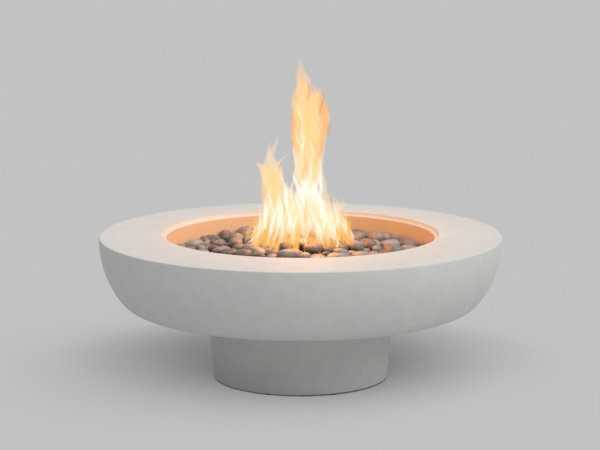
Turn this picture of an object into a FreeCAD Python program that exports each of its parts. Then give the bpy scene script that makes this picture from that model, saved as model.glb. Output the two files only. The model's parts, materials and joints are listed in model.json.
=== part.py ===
import FreeCAD, Part
import itertools
import math
import os
import random
import re

import Sketcher

# Gas fire bowl: a thin cast concrete bowl on a tapered concrete pedestal, with a ring burner under tumbled
# lava stones. Millimetres, +Z up, the origin on the floor under the centre. The photographed side faces -Y
# and the gas valve is on the +Y side of the pedestal.

doc = FreeCAD.newDocument("FireBowl")
sheet = doc.addObject("Spreadsheet::Sheet", "Sizes")
Vector = FreeCAD.Vector

DRIVING_SIZES = {
    # concrete bowl
    "rim_diameter": 1220,
    "rim_height": 445,
    "rim_fall": 5,
    "rim_land": 10,
    "rim_arris": 3,
    "opening_diameter": 816,
    "ledge_width": 13,
    "ledge_depth": 9,
    "ledge_arris": 3,
    "shell_wall": 22,
    "underside_inset": 127,
    "underside_radius": 85,
    "bed_depth": 83,
    "skirt_draft": 9,
    "seat_width": 31,
    "seat_thickness": 22,
    "service_hole": 150,
    "weep_hole": 12,
    "weep_circle": 320,
    "weep_count": 3,
    # concrete pedestal
    "pedestal_height": 220,
    "base_diameter": 530,
    "pedestal_top_diameter": 570,
    "flange_bore": 380,
    "flange_thickness": 22,
    "pedestal_arris": 3,
    "gasket_thickness": 3,
    "gasket_setback": 8,
    # feet
    "pad_height": 3,
    "pad_diameter": 18,
    "pad_count": 8,
    # bolts between pedestal and bowl
    "bolt_count": 6,
    "bolt_circle": 460,
    "bolt_diameter": 10,
    "bolt_clearance": 0.5,
    "bolt_head_width": 17,
    "bolt_head_height": 6.5,
    "bolt_reach": 14,
    "washer_diameter": 24,
    "washer_thickness": 2,
    "insert_diameter": 14,
    "insert_length": 16,
    "thread_gap": 0.1,
    # burner pan
    "pan_thickness": 2,
    "pan_edge_gap": 6,
    "pan_lip_depth": 15,
    "pan_lip_gap": 2,
    "vent_hole": 10,
    "vent_circle": 660,
    "vent_count": 8,
    # burner
    "outer_ring": 300,
    "inner_ring": 150,
    "ring_tube": 19,
    "ring_tube_wall": 1.5,
    "ring_lift": 18,
    "gas_port": 2.4,
    "outer_ports": 36,
    "inner_ports": 18,
    "spoke_tube": 16,
    "spoke_wall": 1.5,
    "spoke_count": 4,
    "hub_diameter": 42,
    "hub_height": 24,
    "hub_arris": 6,
    "foot_diameter": 12,
    "nipple_diameter": 21,
    "nipple_bore": 16,
    "nipple_drop": 26,
    "nipple_grip": 10,
    "locknut_width": 32,
    "locknut_height": 6,
    # mixer, shutter and orifice
    "mixer_diameter": 32,
    "mixer_bore": 16,
    "mixer_length": 80,
    "mixer_socket": 12,
    "collar_diameter": 40,
    "collar_height": 4,
    "collar_rise": 16,
    "air_port": 11,
    "air_port_count": 4,
    "shutter_wall": 2,
    "shutter_height": 24,
    "shutter_tab": 10,
    "shutter_tab_width": 8,
    "shutter_tab_turn": 45,
    "running_gap": 0.3,
    "orifice_width": 19,
    "orifice_height": 16,
    "orifice_nose": 12,
    "orifice_nose_height": 16,
    "orifice_jet": 2.4,
    "tube_socket": 10,
    # feed tube
    "tube_diameter": 12,
    "tube_bore": 9.6,
    "tube_bend": 40,
    "tube_straight": 14,
    "tube_end_gap": 0.5,
    "tube_nut_width": 22,
    "tube_nut_height": 12,
    # valve
    "valve_drop": 100,
    "valve_setback": 30,
    "valve_diameter": 34,
    "valve_half_length": 26,
    "valve_outlet": 10,
    "valve_neck": 28,
    "valve_flange": 40,
    "valve_flange_thickness": 4,
    "panel_recess": 9,
    "panel_thickness": 10,
    "panel_rim": 4,
    "mount_thread": 20,
    "mount_thread_reach": 9,
    "mount_hole_gap": 0.3,
    "ball_diameter": 22,
    "ball_bore": 12,
    "ball_gap": 0.3,
    "chamber_gap": 0.5,
    "valve_seat_height": 6,
    "stem_diameter": 8,
    "stem_gap": 0.1,
    "stem_end_gap": 0.5,
    "tang_width": 5,
    "tang_depth": 3,
    "tang_gap": 0.1,
    "packing_diameter": 13,
    "packing_depth": 6,
    "inlet_hex_width": 24,
    "inlet_hex_height": 10,
    "inlet_thread": 15.88,
    "inlet_thread_length": 14,
    "inlet_cone": 4,
    "inlet_cone_end": 12,
    "inlet_bore": 10,
    # knob and trim
    "bezel_diameter": 62,
    "bezel_thickness": 2.5,
    "mount_nut_width": 27,
    "mount_nut_height": 6,
    "knob_diameter": 48,
    "knob_length": 23,
    "knob_back_gap": 1,
    "knob_bore_gap": 0.05,
    "knob_hollow_gap": 2,
    "knob_web": 15,
    "knob_arris": 4,
    "flute_diameter": 10,
    "flute_depth": 2,
    "flute_count": 12,
    "flute_start": 4,
    "index_width": 2,
    "index_length": 12,
    "index_depth": 1,
    "screw_diameter": 4,
    "screw_length": 14,
    # lava stones
    "stone_length_least": 44.4,
    "stone_length_most": 69.6,
    "filler_length_least": 30,
    "filler_length_most": 42,
    "stone_width_share_least": 0.68,
    "stone_width_share_most": 0.9,
    "stone_depth_share_least": 0.44,
    "stone_depth_share_most": 0.62,
    "stone_tilt": 11,
    "stone_count": 215,
    "cover_count": 30,
    "filler_count": 60,
    "stone_tries": 60,
    "stone_heap": 0.12,
    "stone_gap": 0.6,
    "stone_rim_gap": 10,
}

for row, (alias, size) in enumerate(DRIVING_SIZES.items(), start=1):
    sheet.set(f"A{row}", alias)
    sheet.set(f"B{row}", str(size))
    sheet.setAlias(f"B{row}", alias)
doc.recompute()


def bound(text):
    """An expression that reads the sheet, from one written with the plain names of the sizes."""
    return re.sub(r"[a-z]\w*", lambda m: f"Sizes.{m[0]}" if m[0] in DRIVING_SIZES else m[0], text)


def number(text):
    """The present value of such an expression."""
    return float(sheet.evalExpression(bound(text)))


# Levels and radii that several pieces share
BOWL_FLOOR = "(pedestal_height + shell_wall)"
PEDESTAL_TOP = "(pedestal_height - gasket_thickness)"
FLANGE_UNDER = f"({PEDESTAL_TOP} - flange_thickness)"
LEDGE = "(rim_height - ledge_depth)"
PAN_SEAT = "(rim_height - bed_depth)"
PAN_TOP = f"({PAN_SEAT} + pan_thickness)"
SKIRT_FOOT_R = "(opening_diameter / 2 - skirt_draft)"
SEAT_R = f"({SKIRT_FOOT_R} - seat_width)"
RING_Z = f"({PAN_TOP} + ring_lift)"
NIPPLE_FOOT = f"({PAN_SEAT} - nipple_drop)"
MIXER_TOP = f"({NIPPLE_FOOT} + mixer_socket)"
MIXER_FOOT = f"({MIXER_TOP} - mixer_length)"
COLLAR_TOP = f"({MIXER_FOOT} + collar_rise + collar_height)"
SHUTTER_FOOT = f"({COLLAR_TOP} + running_gap)"
AIR_PORT_Z = f"({SHUTTER_FOOT} + shutter_height / 2)"
ORIFICE_FOOT = f"({MIXER_FOOT} - orifice_height)"
VALVE_Z = f"({FLANGE_UNDER} - valve_drop)"
WALL_SLOPE = f"((pedestal_top_diameter - base_diameter) / 2 / ({PEDESTAL_TOP} - pad_height))"
PANEL_FACE = f"(base_diameter / 2 + {WALL_SLOPE} * ({VALVE_Z} - pad_height) - panel_recess)"
PANEL_BACK = f"({PANEL_FACE} - panel_thickness)"
VALVE_Y = f"({PANEL_BACK} - valve_setback)"
VALVE_TOP = f"({VALVE_Z} + valve_half_length)"
VALVE_FOOT = f"({VALVE_Z} - valve_half_length)"
CHAMBER_R = "(ball_diameter / 2 + chamber_gap)"
CHAMBER_HALF = f"({CHAMBER_R} + chamber_gap)"
KNOB_BACK = "(bezel_thickness + knob_back_gap)"
KNOB_FRONT = f"({KNOB_BACK} + knob_length)"
STEM_END = f"({KNOB_FRONT} - knob_arris - stem_end_gap)"

ALONG_Y = FreeCAD.Rotation(Vector(1, 0, 0), -90)
ALONG_X = FreeCAD.Rotation(Vector(0, 1, 0), 90)
SAME_PLACE = 1e-4

# How finely the stones are settled
STONE_SEED = 48
GOLDEN = (math.sqrt(5) - 1) / 2
QUICK_STEPS = 6
FINE_STEPS = 15
OUTSIDE_COST = 300
STAND_IN_STEP = 5
HUB_RINGS = 4
HUB_RING_SHARE = 6
pieces = []


def piece(shape_object, label):
    """Names a finished sub-part."""
    shape_object.Label = label
    pieces.append(shape_object)
    return shape_object


def place(target, x="0", y="0", z="0", rotation=None):
    """Ties an object's place to the sheet."""
    if rotation:
        target.Placement = FreeCAD.Placement(Vector(0, 0, 0), rotation)
    for axis, text in zip("xyz", (x, y, z)):
        target.setExpression(f"Placement.Base.{axis}", bound(text))


def cylinder(radius, height, x="0", y="0", z="0", rotation=None):
    rod = doc.addObject("Part::Cylinder", "Cylinder")
    rod.setExpression("Radius", bound(radius))
    rod.setExpression("Height", bound(height))
    place(rod, x, y, z, rotation)
    return rod


def hexagon(width, height, x="0", y="0", z="0", rotation=None):
    prism = doc.addObject("Part::Prism", "Hexagon")
    prism.Polygon = 6
    prism.setExpression("Circumradius", bound(f"{width} / 2 / cos(30)"))
    prism.setExpression("Height", bound(height))
    place(prism, x, y, z, rotation)
    return prism


def sphere(radius, x="0", y="0", z="0"):
    ball = doc.addObject("Part::Sphere", "Sphere")
    ball.setExpression("Radius", bound(radius))
    place(ball, x, y, z)
    return ball


def box(length, width, height, x, y, z):
    block = doc.addObject("Part::Box", "Box")
    for side, text in zip(("Length", "Width", "Height"), (length, width, height)):
        block.setExpression(side, bound(text))
    place(block, x, y, z)
    return block


def torus(ring, tube, z):
    loop = doc.addObject("Part::Torus", "Torus")
    loop.setExpression("Radius1", bound(ring))
    loop.setExpression("Radius2", bound(tube))
    place(loop, z=z)
    return loop


def joined(*shapes):
    union = doc.addObject("Part::MultiFuse", "Union")
    union.Shapes = list(shapes)
    return union


def less(base, *tools):
    """A base with one or more tools cut away."""
    difference = doc.addObject("Part::Cut", "Cut")
    difference.Base = base
    difference.Tool = tools[0] if len(tools) == 1 else joined(*tools)
    return difference


def group(shapes):
    compound = doc.addObject("Part::Compound", "Group")
    compound.Links = list(shapes)
    return compound


def plane(body, role):
    return next(feature for feature in body.Origin.OriginFeatures if feature.Role == role)


def sketch_on(body, role, offset="0"):
    sketch = body.newObject("Sketcher::SketchObject", "Sketch")
    sketch.AttachmentSupport = [(plane(body, role), "")]
    sketch.MapMode = "FlatFace"
    sketch.setExpression("AttachmentOffset.Base.z", bound(offset))
    return sketch


def constrain(sketch, kind, *where, size):
    index = sketch.addConstraint(Sketcher.Constraint(kind, *where, number(size)))
    sketch.setExpression(f"Constraints[{index}]", bound(size))


def circle_in(sketch, across, up, radius):
    centre = Vector(number(across), number(up), 0)
    index = sketch.addGeometry(Part.Circle(centre, Vector(0, 0, 1), number(radius)))
    constrain(sketch, "DistanceX", -1, 1, index, 3, size=across)
    constrain(sketch, "DistanceY", -1, 1, index, 3, size=up)
    constrain(sketch, "Radius", index, size=radius)


def arc_between(start, end, radius, left):
    """The arc under a half circle from start to end that turns left or right."""
    chord = end - start
    side = Vector(-chord.y, chord.x, 0).normalize() * (1 if left else -1)
    centre = (start + end) * 0.5 + side * math.sqrt(radius ** 2 - chord.Length ** 2 / 4)
    angles = [math.atan2(point.y - centre.y, point.x - centre.x) for point in (start, end)]
    circle = Part.Circle(centre, Vector(0, 0, 1), radius)
    return Part.ArcOfCircle(circle, *(angles if left else reversed(angles)))


def outline_in(sketch, corners, closed=True):
    """Draws a profile through corners. A corner is (across, up), or (across, up, turn, radius) where an arc
    that turns "left" or "right" leads on to the next corner."""
    points = [Vector(number(corner[0]), number(corner[1]), 0) for corner in corners]
    ends = []
    for index, corner in enumerate(corners if closed else corners[:-1]):
        start, end = points[index], points[(index + 1) % len(points)]
        if len(corner) == 2:
            edge = sketch.addGeometry(Part.LineSegment(start, end))
            ends.append((edge, 1, 2))
            continue
        turn, radius = corner[2:]
        edge = sketch.addGeometry(arc_between(start, end, number(radius), turn == "left"))
        ends.append((edge, 1, 2) if turn == "left" else (edge, 2, 1))
        constrain(sketch, "Radius", edge, size=radius)
    for index, (edge, first, last) in enumerate(ends):
        constrain(sketch, "DistanceX", -1, 1, edge, first, size=corners[index][0])
        constrain(sketch, "DistanceY", -1, 1, edge, first, size=corners[index][1])
        if closed or index + 1 < len(ends):
            following, start, _ = ends[(index + 1) % len(ends)]
            sketch.addConstraint(Sketcher.Constraint("Coincident", edge, last, following, start))
    if not closed:
        edge, _, last = ends[-1]
        constrain(sketch, "DistanceX", -1, 1, edge, last, size=corners[-1][0])
        constrain(sketch, "DistanceY", -1, 1, edge, last, size=corners[-1][1])


def turned(label, corners):
    """A body made by turning a profile, given as (radius, height) corners, about its own Z axis."""
    body = piece(doc.addObject("PartDesign::Body", "Body"), label)
    sketch = sketch_on(body, "XZ_Plane")
    outline_in(sketch, corners)
    spin(body, sketch)
    return body


def spin(body, sketch):
    turn = body.newObject("PartDesign::Revolution", "Turned")
    turn.Profile = sketch
    turn.ReferenceAxis = (sketch, ["V_Axis"])
    turn.Angle = 360
    doc.recompute()


def pocket(body, sketch, depth, backwards=False):
    """Cuts a sketch into a body and makes sure that it takes material away."""
    before = body.Shape.Volume
    hollow = body.newObject("PartDesign::Pocket", "Pocket")
    hollow.Profile = sketch
    hollow.Reversed = backwards
    hollow.setExpression("Length", bound(depth))
    doc.recompute()
    if body.Shape.Volume >= before:
        raise ValueError(f"a pocket of {body.Label} cuts nothing")
    return hollow


def around(body, feature, count):
    """Repeats a cut round the body's Z axis."""
    ring = body.newObject("PartDesign::PolarPattern", "Around")
    ring.Originals = [feature]
    ring.Axis = (plane(body, "Z_Axis"), [""])
    ring.Angle = 360
    ring.setExpression("Occurrences", bound(count))
    body.Tip = ring
    doc.recompute()


def hole_circle(body, circle, hole, count, level, depth, backwards=False):
    """Round holes on a circle, cut from a level downwards, or upwards where backwards is set."""
    sketch = sketch_on(body, "XY_Plane", level)
    circle_in(sketch, f"{circle} / 2", "0", f"{hole} / 2")
    around(body, pocket(body, sketch, depth, backwards), count)


def soften(body, radius, *rings):
    """Rounds the circular edges that lie at the given (radius, height) places."""
    base = body.Tip
    names = []
    for across, up in rings:
        spot = Vector(number(across), 0, number(up))
        for index, edge in enumerate(base.Shape.Edges, start=1):
            extent = edge.BoundBox
            at_height = abs(extent.ZMax - spot.z) < SAME_PLACE and extent.ZLength < SAME_PLACE
            is_round = isinstance(edge.Curve, Part.Circle)
            if at_height and is_round and abs(edge.Curve.Radius - spot.x) < SAME_PLACE:
                names.append(f"Edge{index}")
    rounding = body.newObject("PartDesign::Fillet", "Softened")
    rounding.Base = (base, names)
    rounding.setExpression("Radius", bound(radius))
    doc.recompute()


def round_places(count, circle, phase="0"):
    """Expressions for places evenly round a circle, the first one phase degrees from +X."""
    for index in range(round(number(count))):
        angle = f"({phase} + 360 / {count} * {index})"
        yield f"{circle} / 2 * cos({angle})", f"{circle} / 2 * sin({angle})"


def make_bowl():
    """One cast shell: flat underside, two tangent arcs up the side, rim, ledge, inner wall and pan seat."""
    rim = "(rim_diameter / 2)"
    edge = "(rim_height - rim_fall)"
    side_top = f"({edge} - rim_land)"
    drop = f"({side_top} - pedestal_height)"
    inset = "underside_inset"
    small = "underside_radius"
    large = f"(({inset} ^ 2 + {drop} ^ 2 - 2 * {drop} * {small}) / (2 * ({inset} - {small})))"
    centre = f"({rim} - {large})"
    under_rim = f"({edge} - shell_wall)"
    floor_end = f"({rim} - {inset})"

    def meeting(offset):
        share = f"(({large} - {offset}) / ({large} - {small}))"
        across = f"({centre} + {share} * ({large} - {inset}))"
        return across, f"({side_top} + {share} * ({small} - {drop}))"

    inner_top = f"({centre} + sqrt(({large} - shell_wall) ^ 2 - ({side_top} - {under_rim}) ^ 2))"
    skirt_lean = f"(skirt_draft / ({LEDGE} - {PAN_SEAT}))"
    skirt_foot = f"({PAN_SEAT} - seat_thickness)"
    skirt_back = f"({SKIRT_FOOT_R} + shell_wall)"
    bowl = turned("bowl_shell", [
        ("service_hole / 2", "pedestal_height"),
        (floor_end, "pedestal_height", "left", small),
        (*meeting("0"), "left", large),
        (rim, side_top),
        (rim, edge),
        ("opening_diameter / 2 + ledge_width", "rim_height"),
        ("opening_diameter / 2 + ledge_width", LEDGE),
        ("opening_diameter / 2", LEDGE),
        (SKIRT_FOOT_R, PAN_SEAT),
        (SEAT_R, PAN_SEAT),
        (SEAT_R, skirt_foot),
        (skirt_back, skirt_foot),
        (f"{skirt_back} + {skirt_lean} * ({under_rim} - {skirt_foot})", under_rim),
        (inner_top, under_rim, "right", f"{large} - shell_wall"),
        (*meeting("shell_wall"), "right", f"{small} - shell_wall"),
        (floor_end, BOWL_FLOOR),
        ("service_hole / 2", BOWL_FLOOR),
    ])
    soften(bowl, "rim_arris", (rim, edge))
    soften(bowl, "ledge_arris", ("opening_diameter / 2", LEDGE))
    hole_circle(bowl, "bolt_circle", "insert_diameter", "bolt_count", "pedestal_height", "insert_length",
                backwards=True)
    hole_circle(bowl, "weep_circle", "weep_hole", "weep_count", BOWL_FLOOR, "shell_wall")


def make_pedestal():
    """A hollow cone with an inward bolting flange, and a flat round panel for the valve at the back."""
    inner_top = f"(pedestal_top_diameter / 2 - {WALL_SLOPE} * flange_thickness - shell_wall)"
    pedestal = turned("pedestal_shell", [
        ("base_diameter / 2 - shell_wall", "pad_height"),
        ("base_diameter / 2", "pad_height"),
        ("pedestal_top_diameter / 2", PEDESTAL_TOP),
        ("flange_bore / 2", PEDESTAL_TOP),
        ("flange_bore / 2", FLANGE_UNDER),
        (inner_top, FLANGE_UNDER),
    ])
    soften(pedestal, "pedestal_arris", ("base_diameter / 2", "pad_height"),
           ("pedestal_top_diameter / 2", PEDESTAL_TOP))
    hole_circle(pedestal, "bolt_circle", "(bolt_diameter + 2 * bolt_clearance)", "bolt_count",
                PEDESTAL_TOP, "flange_thickness")
    panel_cuts = (
        (f"-{PANEL_FACE}", "bezel_diameter / 2 + panel_rim", "panel_recess + shell_wall", False),
        (f"-{PANEL_BACK}", "valve_flange / 2 + panel_rim", "shell_wall", True),
        (f"-{PANEL_BACK}", "mount_thread / 2 + mount_hole_gap", "panel_thickness", False),
    )
    for offset, radius, depth, inwards in panel_cuts:
        sketch = sketch_on(pedestal, "XZ_Plane", offset)
        circle_in(sketch, "0", VALVE_Z, radius)
        pocket(pedestal, sketch, depth, inwards)


def make_bowl_fixing():
    """The gasket, bolts, washers and cast-in inserts between pedestal and bowl, and the pads underneath."""
    inner, outer = "flange_bore / 2 + gasket_setback", "pedestal_top_diameter / 2 - gasket_setback"
    gasket = turned("pedestal_gasket", [
        (inner, PEDESTAL_TOP),
        (outer, PEDESTAL_TOP),
        (outer, "pedestal_height"),
        (inner, "pedestal_height"),
    ])
    hole_circle(gasket, "bolt_circle", "(bolt_diameter + 2 * bolt_clearance)", "bolt_count",
                "pedestal_height", "gasket_thickness")
    head_top = f"({FLANGE_UNDER} - washer_thickness)"
    shank = f"pedestal_height + bolt_reach - {head_top}"
    bolts, washers, inserts = [], [], []
    for x, y in round_places("bolt_count", "bolt_circle"):
        head = hexagon("bolt_head_width", "bolt_head_height", x, y, f"{head_top} - bolt_head_height")
        bolts.append(joined(head, cylinder("bolt_diameter / 2 - thread_gap", shank, x, y, head_top)))
        disc = cylinder("washer_diameter / 2", "washer_thickness", x, y, head_top)
        washers.append(less(disc, cylinder("bolt_diameter / 2", "washer_thickness", x, y, head_top)))
        sleeve = cylinder("insert_diameter / 2 - thread_gap", "insert_length", x, y, "pedestal_height")
        inserts.append(less(sleeve, cylinder("bolt_diameter / 2", "insert_length", x, y, "pedestal_height")))
    piece(group(bolts), "pedestal_bolts")
    piece(group(washers), "bolt_washers")
    piece(group(inserts), "bowl_inserts")
    pad_circle = "(base_diameter - shell_wall)"
    pads = [cylinder("pad_diameter / 2", "pad_height", x, y)
            for x, y in round_places("pad_count", pad_circle, "180 / pad_count")]
    piece(group(pads), "foot_pads")


def make_pan():
    """A flat steel pan on the seat, with a down-turned lip that centres it, and vent holes."""
    lip = f"({SEAT_R} - pan_lip_gap)"
    edge = f"({SKIRT_FOOT_R} - pan_edge_gap)"
    pan = turned("burner_pan", [
        ("nipple_diameter / 2 + running_gap", PAN_SEAT),
        (f"{lip} - pan_thickness", PAN_SEAT),
        (f"{lip} - pan_thickness", f"{PAN_SEAT} - pan_lip_depth"),
        (lip, f"{PAN_SEAT} - pan_lip_depth"),
        (lip, PAN_SEAT),
        (edge, PAN_SEAT),
        (edge, PAN_TOP),
        ("nipple_diameter / 2 + running_gap", PAN_TOP),
    ])
    hole_circle(pan, "vent_circle", "vent_hole", "vent_count", PAN_TOP, "pan_thickness")


def cut_spoke_bores(body):
    """Radial bores that lead the gas on from spoke to ring or from hub to spoke."""
    sketch = sketch_on(body, "YZ_Plane")
    circle_in(sketch, "0", RING_Z, "spoke_tube / 2 - spoke_wall")
    around(body, pocket(body, sketch, "outer_ring / 2", True), "spoke_count")


def make_burner_ring(label, ring, ports):
    """A hollow tube bent to a ring, with gas ports drilled through its top."""
    body = piece(doc.addObject("PartDesign::Body", "Body"), label)
    section = sketch_on(body, "XZ_Plane")
    circle_in(section, f"{ring} / 2", RING_Z, "ring_tube / 2")
    circle_in(section, f"{ring} / 2", RING_Z, "ring_tube / 2 - ring_tube_wall")
    spin(body, section)
    hole_circle(body, ring, "gas_port", ports, RING_Z, "ring_tube", True)
    cut_spoke_bores(body)


def make_burner():
    """Two rings on a hub and spokes, on short feet on the pan."""
    make_burner_ring("burner_outer_ring", "outer_ring", "outer_ports")
    make_burner_ring("burner_inner_ring", "inner_ring", "inner_ports")
    foot = f"({RING_Z} - hub_height / 2)"
    top = f"({RING_Z} + hub_height / 2)"
    bore = "(nipple_diameter / 2 + thread_gap)"
    hub = turned("burner_hub", [
        (bore, foot),
        ("hub_diameter / 2", foot),
        ("hub_diameter / 2", f"{top} - hub_arris", "left", "hub_arris"),
        ("hub_diameter / 2 - hub_arris", top),
        ("0", top),
        ("0", f"{foot} + nipple_grip + running_gap"),
        (bore, f"{foot} + nipple_grip + running_gap"),
    ])
    cut_spoke_bores(hub)
    weld_r = "ring_tube / 2 + thread_gap"
    rings = [torus(f"{ring} / 2", weld_r, RING_Z) for ring in ("outer_ring", "inner_ring")]
    core = cylinder("hub_diameter / 2 + thread_gap", "hub_height", z=foot)
    spokes, bores = [], []
    for index in range(round(number("spoke_count"))):
        heading = FreeCAD.Rotation(Vector(0, 0, 1), index * 360 / number("spoke_count")) * ALONG_X
        spokes.append(cylinder("spoke_tube / 2", "outer_ring / 2", z=RING_Z, rotation=heading))
        bores.append(cylinder("spoke_tube / 2 - spoke_wall", "outer_ring / 2", z=RING_Z, rotation=heading))
    piece(less(joined(*spokes), core, *rings, *bores), "burner_spokes")
    posts = [cylinder("foot_diameter / 2", "ring_lift", x, y, PAN_TOP)
             for x, y in round_places("spoke_count", "outer_ring", "180 / spoke_count")]
    piece(less(group(posts), torus("outer_ring / 2", weld_r, RING_Z)), "burner_feet")
    nipple_top = f"({foot} + nipple_grip)"
    turned("burner_nipple", [
        ("nipple_bore / 2", NIPPLE_FOOT),
        ("nipple_diameter / 2", NIPPLE_FOOT),
        ("nipple_diameter / 2", nipple_top),
        ("nipple_bore / 2", nipple_top),
    ])
    nuts = []
    for level in (PAN_TOP, f"{PAN_SEAT} - locknut_height"):
        block = hexagon("locknut_width", "locknut_height", z=level)
        nuts.append(less(block, cylinder(bore, "locknut_height", z=level)))
    piece(group(nuts), "pan_locknuts")


def cut_air_ports(body, outer):
    """Radial air ports, the same on the mixer and on the shutter round it."""
    sketch = sketch_on(body, "XZ_Plane")
    circle_in(sketch, "0", AIR_PORT_Z, "air_port / 2")
    around(body, pocket(body, sketch, outer), "air_port_count")


def make_mixer():
    """The air mixer under the pan, its turning shutter, and the orifice that feeds gas into it."""
    wall, bore = "mixer_diameter / 2", "mixer_bore / 2"
    socket = "nipple_diameter / 2 + thread_gap"
    collar_foot = f"{COLLAR_TOP} - collar_height"
    mixer = turned("air_mixer", [
        (bore, MIXER_FOOT),
        (wall, MIXER_FOOT),
        (wall, collar_foot),
        ("collar_diameter / 2", collar_foot),
        ("collar_diameter / 2", COLLAR_TOP),
        (wall, COLLAR_TOP),
        (wall, MIXER_TOP),
        (socket, MIXER_TOP),
        (socket, NIPPLE_FOOT),
        (bore, NIPPLE_FOOT),
    ])
    cut_air_ports(mixer, "mixer_diameter")
    inner, outer = f"({wall} + running_gap)", f"({wall} + running_gap + shutter_wall)"
    shutter = turned("air_shutter", [
        (inner, SHUTTER_FOOT),
        (outer, SHUTTER_FOOT),
        (outer, f"{SHUTTER_FOOT} + shutter_height"),
        (inner, f"{SHUTTER_FOOT} + shutter_height"),
    ])
    cut_air_ports(shutter, "mixer_diameter")
    tab = sketch_on(shutter, "XY_Plane", SHUTTER_FOOT)
    root = f"({inner} + shutter_wall / 2)"
    tip = f"({root} + shutter_tab)"
    half = "shutter_tab_width / 2"
    outline_in(tab, [
        (f"{reach} * cos(shutter_tab_turn) {side} {half} * sin(shutter_tab_turn)",
         f"{reach} * sin(shutter_tab_turn) {other} {half} * cos(shutter_tab_turn)")
        for reach, side, other in ((root, "-", "+"), (root, "+", "-"), (tip, "+", "-"), (tip, "-", "+"))
    ])
    pad = shutter.newObject("PartDesign::Pad", "Tab")
    pad.Profile = tab
    pad.setExpression("Length", bound("shutter_wall"))
    doc.recompute()
    spud = joined(hexagon("orifice_width", "orifice_height", z=ORIFICE_FOOT),
                  cylinder("orifice_nose / 2", "orifice_nose_height", z=MIXER_FOOT))
    jet = cylinder("orifice_jet / 2", "orifice_height + orifice_nose_height", z=ORIFICE_FOOT)
    socket = cylinder("tube_diameter / 2 + thread_gap", "tube_socket", z=ORIFICE_FOOT)
    piece(less(spud, jet, socket), "gas_orifice")


def make_feed_tube():
    """A bent steel tube: up from the valve, in to the middle and up to the orifice, a nut at each end."""
    body = piece(doc.addObject("PartDesign::Body", "Body"), "feed_tube")
    start = f"({VALVE_TOP} - tube_socket + tube_end_gap)"
    first_bend = f"({VALVE_TOP} + tube_straight)"
    run = f"({first_bend} + tube_bend)"
    end = f"({ORIFICE_FOOT} + tube_socket - tube_end_gap)"
    route = sketch_on(body, "YZ_Plane")
    outline_in(route, [
        (VALVE_Y, start),
        (VALVE_Y, first_bend, "left", "tube_bend"),
        (f"{VALVE_Y} - tube_bend", run),
        ("tube_bend", run, "right", "tube_bend"),
        ("0", f"{run} + tube_bend"),
        ("0", end),
    ], closed=False)
    section = sketch_on(body, "XY_Plane", start)
    circle_in(section, "0", VALVE_Y, "tube_diameter / 2")
    circle_in(section, "0", VALVE_Y, "tube_bore / 2")
    pipe = body.newObject("PartDesign::AdditivePipe", "Bent")
    pipe.Profile = section
    pipe.Spine = route
    doc.recompute()
    nuts = []
    for y, z in ((VALVE_Y, VALVE_TOP), ("0", f"{ORIFICE_FOOT} - tube_nut_height")):
        block = hexagon("tube_nut_width", "tube_nut_height", y=y, z=z)
        nuts.append(less(block, cylinder("tube_diameter / 2 + thread_gap", "tube_nut_height", y=y, z=z)))
    piece(group(nuts), "tube_nuts")


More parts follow.
